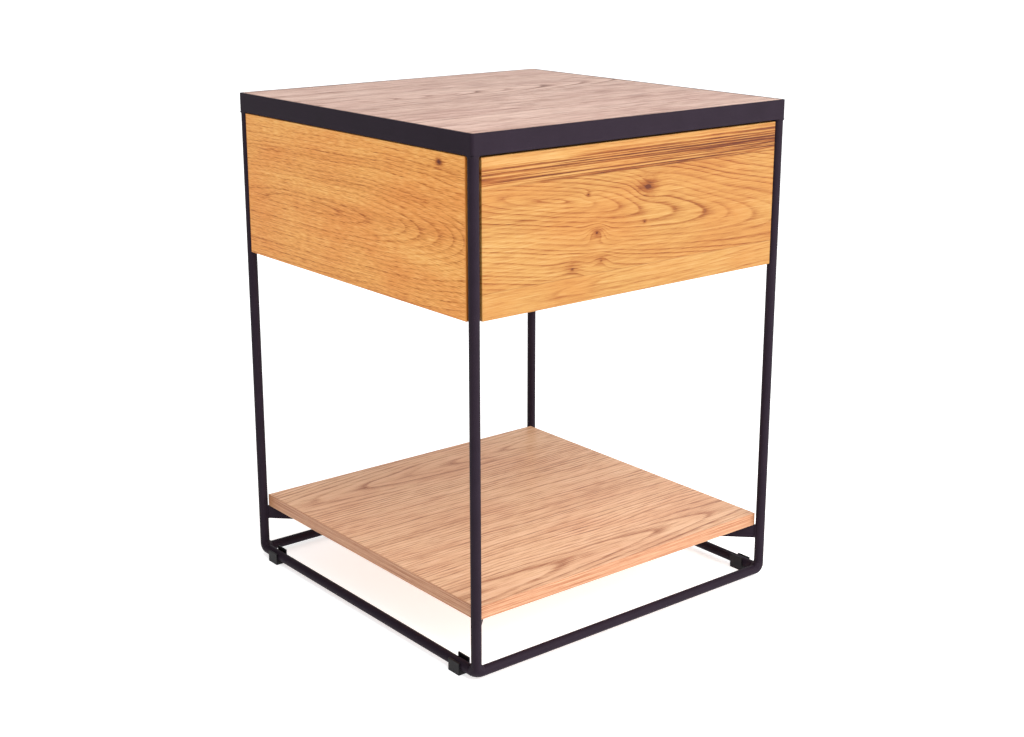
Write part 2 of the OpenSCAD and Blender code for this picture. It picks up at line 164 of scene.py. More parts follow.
def eased(outline, cut, steps=4):
    """Rounds each corner P of a closed outline: it is cut back by `cut` along both sides, at most 0.45 of
    a side, to A and B, which the curve (1-t)^2 A + 2t(1-t) P + t^2 B joins."""
    corner = np.asarray(outline, float)
    side = np.roll(corner, -1, 0) - corner
    length = np.linalg.norm(side, axis=1, keepdims=True)
    ahead = side / length * np.minimum(cut, 0.45 * length)
    before, behind = corner - np.roll(ahead, 1, 0), corner + ahead
    t = np.linspace(0, 1, steps + 1)[None, :, None]
    curve = (1 - t) ** 2 * before[:, None] + 2 * t * (1 - t) * corner[:, None] + t ** 2 * behind[:, None]
    return curve.reshape(-1, 2)


def drawn_in(outline, distance):
    """Moves every side of a closed outline inwards: corner + distance * (n1 + n2) / (1 + n1 . n2),
    where n1 and n2 are the inward normals of the two sides that meet there."""
    corner = np.asarray(outline, float)
    x, y = corner.T
    turn = np.sign((x * np.roll(y, -1) - np.roll(x, -1) * y).sum())
    side = np.roll(corner, -1, 0) - corner
    side /= np.linalg.norm(side, axis=1, keepdims=True)
    after = np.stack([-side[:, 1], side[:, 0]], -1) * turn
    before = np.roll(after, 1, 0)
    return corner + distance * (before + after) / (1 + (before * after).sum(1, keepdims=True))


def milled(outline, axis, low, high, cut, steps=3):
    """An outline carried along one axis, with every edge eased by a quarter round of radius `cut`.
    Ring at angle a: cut * (1 - cos a) from the end and drawn in by cut * (1 - sin a)."""
    angle = np.linspace(0, pi / 2, steps + 1)
    places = np.concatenate([low + cut * (1 - np.cos(angle)), high - cut * (1 - np.cos(angle[::-1]))])
    insets = cut * (1 - np.sin(np.concatenate([angle, angle[::-1]])))
    rings = []
    for place, inset in zip(places, insets):
        ring = eased(drawn_in(outline, inset), max(cut - inset, 0.15 * cut), steps + 1)
        rings.append(np.insert(ring, axis, place, axis=1))
    return skin(np.array(rings))


def rectangle(u0, v0, u1, v1):
    """The four corners of a rectangle, counter-clockwise."""
    return [(u0, v0), (u1, v0), (u1, v1), (u0, v1)]


def plank(low, high, axis, cut):
    """A board between two corners, its long edges along `axis`."""
    u, v = [k for k in range(3) if k != axis]
    return milled(rectangle(low[u], low[v], high[u], high[v]), axis, low[axis], high[axis], cut)


trial = plank((0, 0, 0), (20, 20, 20), 2, 1)
print(f"a 20 mm cube with 1 mm edges: {len(trial.points)} points, {len(trial.quads)} faces round it")

# %% [markdown]
# ## Shader sums written as sums
#
# Blender's shader editor does maths with boxes and wires. Wood needs dozens of
# them, and a page of node calls is hard to read. The small class below wraps
# one socket, so that `1 - mask * 0.3` makes the Subtract and Multiply nodes by
# itself. Anything with a vector in it goes through Vector Math, because a plain
# Math node would make a grey number of it.

# %% A socket that understands Python's operators
class Value:
    """A number, vector or colour that changes over a surface."""

    def __init__(self, finish, socket):
        self.finish, self.socket = finish, socket

    def sum(self, operation, *terms):
        """One Math node, or a Vector Math node as soon as one of the terms is a vector."""
        vectors = [isinstance(t, tuple) or isinstance(t, Value) and t.socket.type == "VECTOR" for t in terms]
        kind = "VectorMath" if any(vectors) else "Math"
        return self.finish.node(kind, {"operation": operation}, dict(enumerate(terms)))

    def __add__(self, other):
        return self.sum("ADD", self, other)

    def __radd__(self, other):
        return self.sum("ADD", other, self)

    def __sub__(self, other):
        return self.sum("SUBTRACT", self, other)

    def __rsub__(self, other):
        return self.sum("SUBTRACT", other, self)

    def __mul__(self, other):
        return self.sum("MULTIPLY", self, other)

    def __rmul__(self, other):
        return self.sum("MULTIPLY", other, self)

    def __truediv__(self, other):
        return self.sum("DIVIDE", self, other)

    def __pow__(self, other):
        return self.sum("POWER", self, other)

    def __gt__(self, other):
        return self.sum("GREATER_THAN", self, other)

    def __lt__(self, other):
        return self.sum("LESS_THAN", self, other)

    def __abs__(self):
        return self.sum("ABSOLUTE", self)

    def __neg__(self):
        return self * -1

    def fraction(self):
        return self.sum("FRACT", self)

    def whole(self):
        return self.sum("FLOOR", self)

    def root(self):
        return self.sum("SQRT", self)

    def fading(self):
        return self.sum("EXPONENT", -self)

    def larger(self, other):
        return self.sum("MAXIMUM", self, other)

    def between(self, low, high):
        """0 below low, 1 above high, and a smooth step in between."""
        return self.finish.node("MapRange", {"interpolation_type": "SMOOTHSTEP"},
                                {"Value": self, "From Min": low, "From Max": high})


print("a socket now understands:", [name for name, thing in vars(Value).items() if callable(thing)])

# %% A material that takes any node
class Finish:
    """A material, with one method that adds any node to it."""

    def __init__(self, name):
        self.material = bpy.data.materials.new(name)
        self.material.use_nodes = True
        self.tree = self.material.node_tree
        self.tree.nodes.clear()

    def node(self, kind, settings=None, sockets=None, out=0):
        """Adds a node, sets its settings, then gives its sockets values or links. Returns one output."""
        made = self.tree.nodes.new("ShaderNode" + kind)
        for key, setting in (settings or {}).items():
            if key == "stops":
                ramp = made.color_ramp.elements
                while len(ramp) < len(setting):
                    ramp.new(1)
                for stop, (place, colour) in zip(ramp, setting):
                    stop.position, stop.color = place, colour
            else:
                setattr(made, key, setting)
        for key, value in (sockets or {}).items():
            if isinstance(value, Value):
                self.tree.links.new(value.socket, made.inputs[key])
            else:
                made.inputs[key].default_value = value
        return Value(self, made.outputs[out])

    def place(self):
        """The point of the surface in millimetres from the part's origin."""
        return self.node("TexCoord", out="Object") * (1000.0, 1000.0, 1000.0)

    def parts(self, vector):
        """The three numbers of a vector."""
        split = self.node("SeparateXYZ", None, {0: vector})
        return [Value(self, s) for s in split.socket.node.outputs]

    def vector(self, x, y, z):
        """A vector from three numbers."""
        return self.node("CombineXYZ", None, {0: x, 1: y, 2: z})

    def noise(self, place, detail=2.0, roughness=0.5, distortion=0.0):
        """Cloudy noise from 0 to 1 with lumps about one unit wide."""
        sockets = {"Vector": place, "Scale": 1.0, "Detail": detail, "Roughness": roughness,
                   "Distortion": distortion}
        return self.node("TexNoise", {"noise_dimensions": "3D"}, sockets)

    def blend(self, amount, under, over, how="MIX"):
        """A colour mix, from under at 0 to over at 1."""
        return self.node("Mix", {"data_type": "RGBA", "blend_type": how}, {0: amount, 6: under, 7: over}, 2)

    def ramp(self, value, stops):
        """A colour from a list of (place, colour) stops."""
        return self.node("ValToRGB", {"stops": stops}, {0: value})

    def done(self, colour, roughness, height=None, depth=1.0, **constants):
        """Ends the material in a Principled shader. height is a relief in units of `depth` millimetres."""
        sockets = {"Base Color": colour, "Roughness": roughness}
        sockets.update({key.replace("_", " "): value for key, value in constants.items()})
        if height is not None:
            relief = {"Height": height, "Distance": depth * MM, "Strength": 1.0}
            sockets["Normal"] = self.node("Bump", None, relief)
        shader = self.node("BsdfPrincipled", None, sockets)
        end = self.tree.nodes.new("ShaderNodeOutputMaterial")
        self.tree.links.new(shader.socket, end.inputs["Surface"])
        return self.material


def tone(red, green, blue, light=1.0):
    """A colour as a paint card gives it, 0 to 255, as the linear values a shader wants, times `light`."""
    card = np.array([red, green, blue]) / 255
    linear = np.where(card < 0.04045, card / 12.92, ((card + 0.055) / 1.055) ** 2.4) * light
    return (*np.clip(linear, 0, 1).tolist(), 1.0)


trial = Finish("trial")
last = (1 - trial.node("Fresnel") * 0.3).socket.node
print("1 - fresnel * 0.3 made", [node.name for node in trial.tree.nodes], "and ends in", last.name)
bpy.data.materials.remove(trial.material)

# %% [markdown]
# ## Oak
#
# Oak is the look of this table. A board shows the tree's yearly rings cut
# lengthwise, and where the cut runs nearly along the rings they close in
# pointed arches. A picture of wood would only fit one face. A rule for the
# tree fits all six: take the distance of each point from the tree's heart,
# which runs along the grain a little below the board and slants through it,
# and count rings in that distance. The arches, the straight grain at the
# edges and the curved lines on the end grain then come by themselves.
#
# Each glued stave is cut from another place, so it has a heart of its own.
# Knots push the rings aside. On top lie fine fibres, short dark pores and slow
# drifts of colour.

# %% A board with its own directions
Stave = namedtuple("Stave", "up_to heart lean depth slope bow bow_at streaks warmth figure",
                   defaults=(1e4, 0.0, 0.0, 20.0, 0.0, 0.0, 0.0, 0.0, 0.0, 1.0))
Knot = namedtuple("Knot", "along across size push dark", defaults=(6.0, 0.8))


class Board(Finish):
    """The finish of one oak board, measured in millimetres from the board's middle. `axes` are the
    numbers of the part's axes that run along the grain, across it and through the board."""

    def __init__(self, name, axes, node, staves):
        super().__init__(name)
        low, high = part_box(node)
        middle, half = (low + high) / (2 * MM), (high - low) / (2 * MM)
        xyz = self.parts(self.place())
        self.along, self.across, self.through = [xyz[k] - middle[k] for k in axes]
        self.half_long, self.half_wide = half[axes[0]], half[axes[1]]
        self.staves = staves
        self.number = 0.0
        for stave in staves[:-1]:
            self.number = (self.across > stave.up_to) + self.number
        # Each stave reads its noise from a far-off place, so no pattern runs on over a joint
        self.own_place = self.vector(self.along + self.number * 377.0, self.across + self.number * 91.0,
                                     self.through)

    def by_stave(self, field):
        """A stave's own number, from the stave that this point is in."""
        amounts = [getattr(stave, field) for stave in self.staves]
        result = amounts[0]
        for stave, before, after in zip(self.staves, amounts, amounts[1:]):
            result = (self.across > stave.up_to) * (after - before) + result
        return result

    def grain(self, long, wide, detail=2.0, distortion=0.0):
        """Noise drawn out along the grain, lumps `long` by `wide` millimetres."""
        return self.noise(self.own_place * (1 / long, 1 / wide, 1 / wide), detail, 0.5, distortion)


print("a stave is told by", Stave._fields)
print("a knot is told by", Knot._fields)

# %% [markdown]
# A ring line is the tree's spring growth: dark and full of pores where it
# starts, and fading into the summer wood. The fraction of the ring count says
# how far through its ring a point is. Real years differ, so the count is
# stretched by noise and each ring draws a number of its own for its darkness.

# %% Rings and knots
def growth(board, ring, wander, knots):
    """Rings: sqrt((across - heart)^2 + depth^2) / ring, where the heart line leans, sinks by slope and
    bow, and drifts by `wander`. Line of a ring: (1 - part)^3.4 with a soft start, part being the fraction.
    Knots: with d the distance in knot sizes, rings are pushed by push * exp(-0.09 d^2), and the eye is
    dark * (exp(-8 d^2) + 0.55 exp(-0.3 d^2)), its edge torn by noise."""
    along, across = board.along, board.across
    drift = board.grain(230.0, 70.0) - 0.5
    waver = board.grain(40.0, 12.0, 3.0) - 0.5
    side = across - board.by_stave("heart") - along * board.by_stave("lean") + drift * wander + waver * 2.2
    off = along - board.by_stave("bow_at")
    depth = (board.by_stave("depth") + along * board.by_stave("slope") + off * off * board.by_stave("bow")
             + board.through + drift * 9.0)
    reach = (side * side + depth * depth).root()

    eye = 0.0
    ragged = waver * 1.6 + (board.grain(9.0, 4.0) - 0.5) * 1.8
    for knot in knots:
        away = ((along - knot.along) / (1.4 * knot.size)) ** 2 + ((across - knot.across) / knot.size) ** 2
        reach = reach + (away * 0.09).fading() * knot.push
        torn = away * (1 + ragged)
        eye = (torn * 8.0).fading() * knot.dark + (torn * 0.30).fading() * (0.55 * knot.dark) + eye

    stretch = board.noise(board.vector(reach / (3.2 * ring), board.number * 7.0, 0.0), 1.0)
    count = reach / ring + stretch * 1.4
    luck = board.node("TexWhiteNoise", {"noise_dimensions": "1D"}, {"W": count.whole() + board.number * 31.0})
    part = count.fraction()
    return (1 - part) ** 3.4 * part.between(0.0, 0.16) * (luck * 0.7 + 0.3), eye


print(f"a ring line has faded to half after {1 - 0.5 ** (1 / 3.4):.0%} of the ring")

# %% [markdown]
# Over the rings lie finer things: fibres less than a millimetre wide, pore
# marks, long drawn-out lines and broad changes from light to dark. They are all
# the same noise with other lengths and widths. Their sum says how dark a point
# is, and a ramp of the oak's own four tones turns that into colour.

# %% Grain marks and colour
STREAK_FROM, STREAK_TO = 73.0, 83.0


def shaded(board, early, fibre, lines, ribs):
    """Shade = ring lines + fibres + pore marks + drawn lines + broad bands, each times its strength, plus
    the stave's warmth. Heavy streaks stop between two heights across the board. Returns shade and pores."""
    rib_long, rib_wide, rib_strength = ribs
    mark = board.grain(rib_long, rib_wide, 1.0) - 0.5
    drawn = board.grain(340.0, 1.9, 3.0, 0.9)
    wide = board.grain(380.0, 16.0, 2.0, 0.3)
    pores = board.grain(7.0, 0.42, 1.0).between(0.56, 0.68) * (early * 0.8 + 0.25)
    shade = (early * lines + (fibre - 0.5) * 0.40 + mark * (early * 0.6 + 0.7) * rib_strength
             + (drawn - 0.5) * 0.34 + (wide - 0.5) * 0.40 + pores * 0.20 + board.by_stave("warmth") + 0.36)
    beyond = (board.across - board.along * 0.02).between(STREAK_FROM, STREAK_TO)
    heavy = wide.between(0.26, 0.44) * board.by_stave("streaks") * (1 - beyond)
    return shade + heavy * (drawn.between(0.38, 0.60) * 0.50 + 0.09), pores


def coloured(board, shade, tones):
    """A ramp from pale to dark, multiplied in clouds by the fifth tone, and a thin dark line in each
    glued joint between two staves."""
    colour = board.ramp(shade, list(zip((0.0, 0.36, 0.68, 1.0), tones)))
    cloud = board.noise(board.own_place * (1 / 150.0, 1 / 60.0, 1 / 60.0), 2.0)
    colour = board.blend(cloud.between(0.35, 0.7) * 0.40, colour, tones[4], "MULTIPLY")
    for stave in board.staves[:-1]:
        line = 1 - abs(board.across - stave.up_to).between(0.15, 0.5)
        colour = board.blend(line * 0.35, colour, tones[3])
    return colour


print("heavy streaks stop", STREAK_FROM, "to", STREAK_TO, "mm above a board's middle")

# %% [markdown]
# A veneered board has a strip of veneer on its edges, or the core would show.
# Its grain runs along the edge, and a thin line shows where it meets the face.
# The rule finds the edge by how close a point is to the board's ends and long
# sides. The last function puts the whole oak together.

# %% Edge bands and the whole oak
BAND_T, BAND_LINE = 0.25, 0.8


def edge_banded(board, colour, tones):
    """out = how far a point lies past the board's ends or long edges, whichever is more, so it is below
    zero on the board. Past -BAND_T it is the band, and near -BAND_LINE the line of the joint."""
    out = (abs(board.along) - board.half_long).larger(abs(board.across) - board.half_wide)
    run = board.along + board.across
    strip = board.noise(board.vector(board.through * 0.8, run / 120.0, 0.0), 3.0)
    strip = strip + (board.noise(board.vector(board.through * 2.5, run / 14.0, 9.0), 2.0) - 0.5) * 0.4
    band = board.ramp(strip, list(zip((0.0, 0.18, 0.62, 1.0), tones)))
    colour = board.blend(out > -BAND_T, colour, band)
    return board.blend((1 - abs(out + BAND_LINE).between(0.3, 0.6)) * 0.45, colour, tones[2])


def oak(name, axes, node, staves, tones, ring, lines, ribs, gloss, knots=(), shine=0.2, wander=16.0,
        banded=False):
    """Oak for one board. tones: four colours from pale to dark and one to drift towards. ring: width of a
    ring; lines: darkness of its line; ribs: length, width and strength of the pore marks; gloss: the
    roughness; shine: the specular level; wander: how far the heart line drifts; banded: veneer on the
    ends and long edges. Lengths are in millimetres."""
    board = Board(name, axes, node, staves)
    fibre = board.grain(22.0, 0.8, 3.0)
    early, eye = growth(board, ring, wander, knots)
    early = early * (fibre * 1.1 + 0.7) * board.by_stave("figure")
    shade, pores = shaded(board, early, fibre, lines, ribs)
    colour = coloured(board, shade + eye, tones)
    if banded:
        colour = edge_banded(board, colour, tones)
    relief = fibre * 0.35 - pores * 1.2 - early * 0.3
    roughness = fibre * 0.16 + pores * 0.2 + (gloss - 0.08)
    return board.done(colour, roughness, relief, 0.06, Specular_IOR_Level=shine)


print("edge bands are", BAND_T, "mm thick")

# %% [markdown]
# ## The oak boards
#
# The table's oak is one kind of tree but not one board. The drawer front is
# solid and glued up from three staves: a streaky one on top, a wide one with
# arches and knots, and a plain one below. The case panels have long oval
# figures, the top is straight and pale, and the shelf is pinker. So they share
# the rule above and differ in heart, ring width and colour. The front's colour
# is also painted darker, as painted shade that offsets the strong light on it.

# %% Mix the oak colours
# Painted shade: the drawer front's tones are dimmed to about half the panels' (0.44 against 0.89), which
# offsets the much stronger light on the front
honey_dimmed = [tone(255, 214, 142, 0.44), tone(248, 184, 100, 0.40), tone(210, 124, 48, 0.35),
         tone(124, 54, 14, 0.40), tone(248, 204, 160)]
amber = [tone(248, 200, 122, 0.89), tone(238, 166, 82, 0.83), tone(196, 112, 38, 0.77),
         tone(104, 38, 10, 0.70), tone(240, 192, 140)]
pale = [tone(240, 214, 200, 0.82), tone(223, 187, 170, 0.76), tone(164, 114, 94, 0.62),
        tone(94, 56, 44, 0.55), tone(224, 206, 206)]
rose = [tone(250, 212, 182, 0.80), tone(238, 190, 150, 0.76), tone(188, 122, 82, 0.67),
        tone(108, 56, 32, 0.60), tone(232, 204, 192)]

front_oak = oak(
    "front_oak", (0, 2, 1), "drawer_front",
    [Stave(up_to=-57.0, heart=-66.0, lean=0.05, depth=14.0, slope=-0.05, warmth=-0.02, figure=0.4),
     Stave(up_to=53.0, heart=10.0, lean=-0.15, depth=24.0, slope=0.11),
     Stave(heart=-90.0, lean=0.04, depth=60.0, slope=0.02, streaks=1.0, warmth=-0.08, figure=0.7)],
    honey_dimmed, ring=4.9, lines=0.52, ribs=(26.0, 1.4, 0.42), wander=12.0,
    knots=[Knot(14.0, 31.0, 5.0, 8.0, 0.75),
           Knot(-75.0, 32.0, 1.5, 3.0, 0.8),
           Knot(-62.0, -12.0, 2.8, 15.0, 0.6), Knot(10.0, -8.0, 1.0, 0.0, 0.7),
           Knot(-97.0, -48.0, 4.2, 5.0, 0.36), Knot(-55.0, -44.0, 3.0, 6.0, 0.32)],
    gloss=0.40)
case_oak = {"ring": 4.6, "lines": 0.30, "ribs": (13.0, 1.0, 0.95), "gloss": 0.44, "banded": True}
panel_oak = oak(
    "panel_oak", (1, 2, 0), "side_panel_left",
    [Stave(heart=-6.0, lean=-0.02, depth=10.0, bow=0.00036, bow_at=92.0)],
    amber, wander=14.0, knots=[Knot(-177.0, 76.0, 2.2, 1.0, 1.2)], **case_oak)
# The board on the right comes from further out in the tree and is a little darker
deeper = [(0.76 * red, 0.78 * green, 0.86 * blue, 1.0) for red, green, blue, _ in amber]
right_oak = oak(
    "right_oak", (1, 2, 0), "side_panel_right",
    [Stave(heart=-18.0, lean=0.03, depth=16.0, bow=0.0005, bow_at=40.0)],
    deeper, wander=14.0, knots=[Knot(150.0, 30.0, 2.0, 1.0, 0.9)], **case_oak)
back_oak = oak(
    "back_oak", (0, 2, 1), "back_panel",
    [Stave(heart=22.0, lean=0.03, depth=14.0, bow=0.0006, bow_at=-60.0)],
    amber, knots=[Knot(130.0, -40.0, 2.5, 2.0, 0.8)], **case_oak)
top_oak = oak(
    "top_oak", (0, 1, 2), "top_board",
    [Stave(up_to=-120.0, heart=-60.0, lean=0.02, depth=60.0, slope=0.03),
     Stave(up_to=-5.0, heart=40.0, lean=-0.03, depth=40.0, slope=-0.05),
     Stave(up_to=110.0, heart=60.0, lean=0.01, depth=26.0, slope=0.10),
     Stave(heart=300.0, depth=90.0, slope=0.02)],
    pale, ring=5.0, lines=0.66, ribs=(40.0, 2.0, 1.20), gloss=0.52, shine=0.35, banded=True)
shelf_oak = oak(
    "shelf_oak", (0, 1, 2), "shelf_board",
    [Stave(up_to=-70.0, heart=-190.0, lean=0.03, depth=30.0, slope=0.04),
     Stave(up_to=75.0, heart=-150.0, lean=-0.02, depth=40.0, slope=0.02),
     Stave(heart=165.0, lean=0.02, depth=24.0, slope=-0.06)],
    rose, ring=5.4, lines=0.52, ribs=(34.0, 1.6, 0.85), gloss=0.40, shine=0.3, banded=True)
print("oak finishes:", [m.name for m in bpy.data.materials if m.name.endswith("_oak")])

# %% [markdown]
# ## The plain finishes
#
# The steel is powder coated: a dry black with a breath of violet in it, and a
# fine pebbled skin that spreads the highlights. The drawer box is birch
# plywood, which shows its glued layers on every edge. The glides are moulded
# black plastic, and the runners and screws are zinc plated, a little cloudy.

# %% Powder coat, plastic, zinc and birch plywood
def powder_coat():
    """Black with a pebbled relief of half a millimetre and slow changes of sheen."""
    coat = Finish("powder_coat")
    place = coat.place()
    pebble = coat.noise(place * (1.9, 1.9, 1.9), 2.0)
    slow = coat.noise(place * (0.03, 0.03, 0.03), 3.0)
    speck = coat.noise(place * (5.0, 5.0, 5.0), 1.0).between(0.66, 0.74)
    colour = coat.blend(slow, tone(29, 21, 29), tone(39, 30, 40))
    colour = coat.blend(speck * 0.35, colour, tone(84, 74, 90))
    return coat.done(colour, slow * 0.12 + pebble * 0.10 + 0.38, pebble, 0.05, Specular_IOR_Level=0.05)


def glide_plastic():
    """Black plastic with a fine spark-eroded grain from the mould."""
    plastic = Finish("glide_plastic")
    place = plastic.place()
    grain = plastic.noise(place * (3.0, 3.0, 3.0), 3.0)
    scuff = plastic.noise(place * (0.35, 0.35, 1.6), 3.0).between(0.55, 0.75)
    colour = plastic.blend(scuff * 0.5, tone(16, 13, 17), tone(40, 35, 42))
    return plastic.done(colour, grain * 0.2 + scuff * 0.15 + 0.34, grain, 0.04, Specular_IOR_Level=0.15)


def zinc_plate(name, light):
    """Bright zinc: fine lines from rolling, and cloudy patches of clear and yellowish passivation."""
    zinc = Finish(name)
    place = zinc.place()
    cloud = zinc.noise(place * (0.09, 0.09, 0.09), 4.0)
    lines = zinc.noise(place * (3.0, 0.03, 3.0), 2.0)
    colour = zinc.blend(cloud, tone(205, 208, 212, light), tone(226, 221, 204, light))
    return zinc.done(colour, lines * 0.16 + cloud * 0.14 + 0.20, lines, 0.02, Metallic=1.0)


def birch_ply(name, thickness_axis, face):
    """Plywood: layers 1.5 mm thick counted from a face, every second one shows end grain on the edges."""
    birch = Finish(name)
    xyz = birch.parts(birch.place())
    level = abs(xyz[thickness_axis]) - face / MM
    layer = (level / 3.0).fraction()
    cross = layer.between(0.46, 0.50) * (1 - layer.between(0.96, 1.0))
    stretch = [1 / 60.0, 1 / 60.0, 1 / 60.0]
    stretch[2 if thickness_axis != 2 else 0] = 1 / 2.2
    stretch[thickness_axis] = 1 / 1.1
    grain = birch.noise(birch.place() * tuple(stretch), 3.0)
    pores = birch.noise(birch.place() * tuple(s * 4 for s in stretch), 1.0).between(0.62, 0.72)
    colour = birch.ramp(grain, [(0.2, tone(246, 222, 184, 0.85)), (0.55, tone(236, 205, 160, 0.8)),
                                (0.9, tone(212, 172, 122, 0.75))])
    colour = birch.blend(cross * 0.45, colour, tone(188, 142, 92, 0.8))
    colour = birch.blend(pores * 0.25, colour, tone(160, 116, 74))
    return birch.done(colour, grain * 0.2 + 0.45, grain - pores * 0.5, 0.04)


steel_black = powder_coat()
plastic_black = glide_plastic()
runner_zinc = zinc_plate("runner_zinc", 0.80)
screw_zinc = zinc_plate("screw_zinc", 0.95)
print("plain finishes:", steel_black.name, plastic_black.name, runner_zinc.name, screw_zinc.name)

# %% [markdown]
# ## The steel frame
#
# Round bar of one thickness makes the legs, the bottom rails and the bends
# between them, and an angle bar with mitred corners makes the rim. A bar could
# be a plain cylinder, but the real one shows how it was joined: at the top a
# weld fillet spreads out under the rim, except on the two outer sides, where it
# is ground flush with the rim's faces. So the radius of a leg is a function of
# height and of direction.

# %% Measure the frame
leg_low, leg_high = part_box("leg_front_left")
bar_r = (leg_high.x - leg_low.x) / 2
axis_at = -leg_low.x - bar_r
rail_low, rail_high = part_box("rail_front")
axis_z = (rail_low.z + rail_high.z) / 2
bend_r = leg_low.z - axis_z
frame_half = axis_at + bar_r
CORNERS = [(x, y) for y in (-1, 1) for x in (-1, 1)]


def corner_name(x, y):
    """The name of the corner on the sides x and y, each -1 or 1."""
    return f"{'front' if y < 0 else 'back'}_{'left' if x < 0 else 'right'}"


print(f"bar {2 * bar_r / MM:.1f} mm, bend {bend_r / MM:.1f} mm, frame half {frame_half / MM:.1f} mm")

# %% Legs with their weld under the rim
WELD = 3.0 * MM
AROUND = 64


def leg(x, y):
    """Radius = bar + fillet of a quarter round in the top 3 mm, its edge rippled. A point at radius r
    stands r * cos out on its side, so the radius may be at most bar / cos on the frame's outer sides."""
    rise = np.linspace(0, pi / 2, 7)[1:]
    straight = np.linspace(leg_low.z, leg_high.z - WELD, 12)
    heights = np.concatenate([straight, leg_high.z - WELD * (1 - np.sin(rise))])
    spread = np.concatenate([0 * straight, WELD * (1 - np.cos(rise))])
    turn = np.linspace(0, 2 * pi, AROUND, endpoint=False)
    ripple = 1 + 0.10 * np.sin(11 * turn)
    room = bar_r / np.maximum(np.maximum(np.cos(turn) * x, np.sin(turn) * y), 1e-6)
    radius = np.minimum(bar_r + spread[:, None] * ripple, room)
    points = np.stack([x * axis_at + radius * np.cos(turn), y * axis_at + radius * np.sin(turn),
                       np.broadcast_to(heights[:, None], radius.shape)], -1)
    return skin(points)


for x, y in CORNERS:
    name = corner_name(x, y)
    make_piece(f"bar_leg_{name}", [leg(x, y)], "frame", steel_black, [f"leg_{name}"],
               tube=True)

# %% Bottom rails
def rail(axis, side):
    """A ring of radius bar_r carried from bend to bend."""
    reach = axis_at - bend_r
    turn = np.linspace(0, 2 * pi, AROUND, endpoint=False)
    along = np.linspace(-reach, reach, 24)[:, None] + 0 * turn
    across = side * axis_at + bar_r * np.cos(turn) + 0 * along
    up = axis_z + bar_r * np.sin(turn) + 0 * along
    return skin(np.stack([along, across, up] if axis == 0 else [across, along, up], -1))


for name, axis, side in (("front", 0, -1), ("back", 0, 1), ("left", 1, -1), ("right", 1, 1)):
    make_piece(f"bar_rail_{name}", [rail(axis, side)], "frame", steel_black, [f"rail_{name}"],
               tube=True)

# %% [markdown]
# A bottom corner is where a leg and two rails turn into each other. The real
# one is bent and welded, then ground to one smooth lump. That is the shape a
# ball of the bar's radius fills when it rolls along the three quarter turns
# between the three bars, with the hollow between them closed. For a closed lump
# there is a neat rule: the surface point with outward normal n is the path
# point that lies furthest along n, plus the radius times n. It also gives the
# exact normals.

# %% Bottom corners
def bend(x, y):
    """Point for normal n = (path point with the largest n . c) + bar_r * n, over a sphere of normals
    whose pole points out of the corner."""
    quarter = np.linspace(0, pi / 2, 25)
    near, far = bend_r * (1 - np.cos(quarter)), bend_r * (1 - np.sin(quarter))
    none = np.zeros_like(quarter)
    turns = (near, none, far), (none, near, far), (near, far, none)
    path = np.concatenate([np.stack(places, -1) for places in turns])
    down = np.linspace(0, pi, 41)[1:-1, None]
    turn = np.linspace(0, 2 * pi, AROUND, endpoint=False)
    pole = np.array([-1, -1, -1]) / sqrt(3)
    east = np.array([1, -1, 0]) / sqrt(2)
    north = np.cross(pole, east)
    normal = (np.cos(down)[..., None] * pole + (np.sin(down) * np.cos(turn))[..., None] * east
              + (np.sin(down) * np.sin(turn))[..., None] * north)
    rings = path[np.argmax(normal @ path.T, axis=-1)] + bar_r * normal
    flip = np.array([-x, -y, 1])
    lump = skin(rings)
    placed = lump._replace(points=(lump.points + [-axis_at, -axis_at, axis_z]) * flip)
    return placed, normal.reshape(-1, 3) * flip


for x, y in CORNERS:
    name = corner_name(x, y)
    lump, outward = bend(x, y)
    make_piece(f"bar_bend_{name}", [lump], "frame", steel_black, [f"bend_{name}"],
               normals=outward)

# %% [markdown]
# The rim is one band round the top. Its section is an L: a thin upright wall
# that hides the edge of the board, and a ledge at the bottom that the board
# lies on. Carrying that L round a square with rounded corners makes it in one
# piece, as it looks after the mitres are welded and ground.

# %% Rim
RIM_WALL, RIM_LEDGE, RIM_CORNER, RIM_EDGE = 3.0 * MM, 24.0 * MM, 4.0 * MM, 0.35 * MM


def rim_band():
    """The L-shaped section carried round the square. A section point at distance d from the outer face
    follows a square drawn in by d, with a corner radius of RIM_CORNER less d."""
    low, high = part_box("rim_front")
    section = eased([(0, low.z), (RIM_LEDGE, low.z), (RIM_LEDGE, low.z + RIM_WALL),
                     (RIM_WALL, low.z + RIM_WALL), (RIM_WALL, high.z), (0, high.z)], RIM_EDGE, 3)
    inwards, height = section.T
    radius = np.maximum(RIM_CORNER - inwards, 0.15 * MM)
    middle = frame_half - inwards - radius
    corner = (np.repeat(np.arange(4), 9) * pi / 2)[:, None]
    heading = corner + np.tile(np.linspace(0, pi / 2, 9), 4)[:, None]
    side_x, side_y = np.sign(np.cos(corner + pi / 4)), np.sign(np.sin(corner + pi / 4))
    rings = np.stack([side_x * middle + radius * np.cos(heading),
                      side_y * middle + radius * np.sin(heading), height + 0 * heading], -1)
    count, around = rings.shape[:2]
    here = np.arange(around)
    after = (here + 1) % around
    start = np.arange(count)[:, None] * around
    onward = (start + around) % (count * around)
    quads = np.stack([start + here, start + after, onward + after, onward + here], -1)
    return Shape(rings.reshape(-1, 3), quads.reshape(-1, 4))


make_piece("rim_band", [rim_band()], "frame", steel_black,
           ["rim_front", "rim_back", "rim_left", "rim_right"])

# %% [markdown]
# ## Shelf brackets and glides
#
# The shelf doesn't touch the legs. At each corner an upright flat bar runs
# from the leg under the shelf, along the table's diagonal, and is welded on
# both sides. A weld bead is a row of small overlapping pools, so it is a thin
# bar whose radius swells and shrinks along its length.

